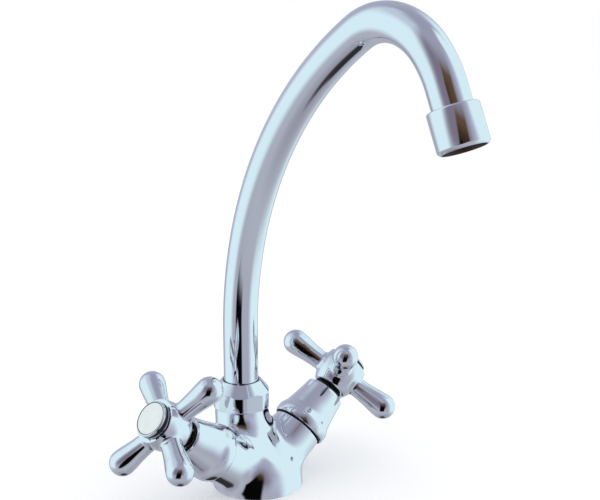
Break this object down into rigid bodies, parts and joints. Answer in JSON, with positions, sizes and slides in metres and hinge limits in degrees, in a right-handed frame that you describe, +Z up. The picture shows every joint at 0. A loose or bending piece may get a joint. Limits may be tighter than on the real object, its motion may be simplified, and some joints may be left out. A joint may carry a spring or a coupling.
{
  "type": "kitchen sink mixer tap",
  "caption": "Deck-mounted sink mixer tap with a swivelling swan-neck spout and two angled cross handles on one round foot.",
  "frame": {"origin": "centre of the round foot on the worktop", "axes": "+Z up, spout forward along -Y, handles to -X and +X"},
  "size_m": [0.1737, 0.1965, 0.2784],
  "materials": {
    "chrome_casting": "mirror-polished chrome plate on brass",
    "chrome_tube": "mirror-polished chrome plate on brass tube",
    "chrome_handle": "mirror-polished chrome plate on zinc",
    "index_white": "glossy white button",
    "brass": "turned brass",
    "rubber_black": "black nitrile rubber",
    "ceramic": "lapped alumina ceramic",
    "nylon": "natural nylon",
    "insert_brown": "dark brown acetal",
    "steel": "stainless steel"
  },
  "bodies": {
    "body": {"body_casting": "chrome_casting", "base_gasket": "rubber_black", "collar_nut": "chrome_casting", "slip_ring": "nylon", "left_shroud_seal": "rubber_black", "left_shroud": "chrome_casting", "left_headwork": "brass", "left_headwork_oring": "rubber_black", "left_seat_seal": "rubber_black", "left_fixed_disc": "ceramic", "right_shroud_seal": "rubber_black", "right_shroud": "chrome_casting", "right_headwork": "brass", "right_headwork_oring": "rubber_black", "right_seat_seal": "rubber_black", "right_fixed_disc": "ceramic"},
    "spout": {"spout_tube": "chrome_tube", "spout_bush": "brass", "spout_oring_lower": "rubber_black", "spout_oring_upper": "rubber_black", "aerator_housing": "chrome_tube", "aerator_washer": "rubber_black", "aerator_screen": "steel", "aerator_insert": "insert_brown"},
    "left_handle": {"left_cross_handle": "chrome_handle", "left_handle_screw": "steel", "left_index_ring": "chrome_handle", "left_index_disc": "index_white", "left_spindle": "brass", "left_spindle_oring": "rubber_black", "left_circlip": "steel", "left_moving_disc": "ceramic"},
    "right_handle": {"right_cross_handle": "chrome_handle", "right_handle_screw": "steel", "right_index_ring": "chrome_handle", "right_index_disc": "index_white", "right_spindle": "brass", "right_spindle_oring": "rubber_black", "right_circlip": "steel", "right_moving_disc": "ceramic"}
  },
  "joints": [
    {"name": "spout_swivel", "type": "hinge", "parent": "body", "child": "spout", "pos_m": [0, 0.0145, 0.0432], "axis": [0, 0, 1], "continuous": true},
    {"name": "left_handle_turn", "type": "hinge", "parent": "body", "child": "left_handle", "pos_m": [-0.06364, 0, 0.05078], "axis": [-0.7955, 0, 0.606], "range_deg": [0, 90]},
    {"name": "right_handle_turn", "type": "hinge", "parent": "body", "child": "right_handle", "pos_m": [0.06364, 0, 0.05078], "axis": [0.7955, 0, 0.606], "range_deg": [0, 90]}
  ]
}
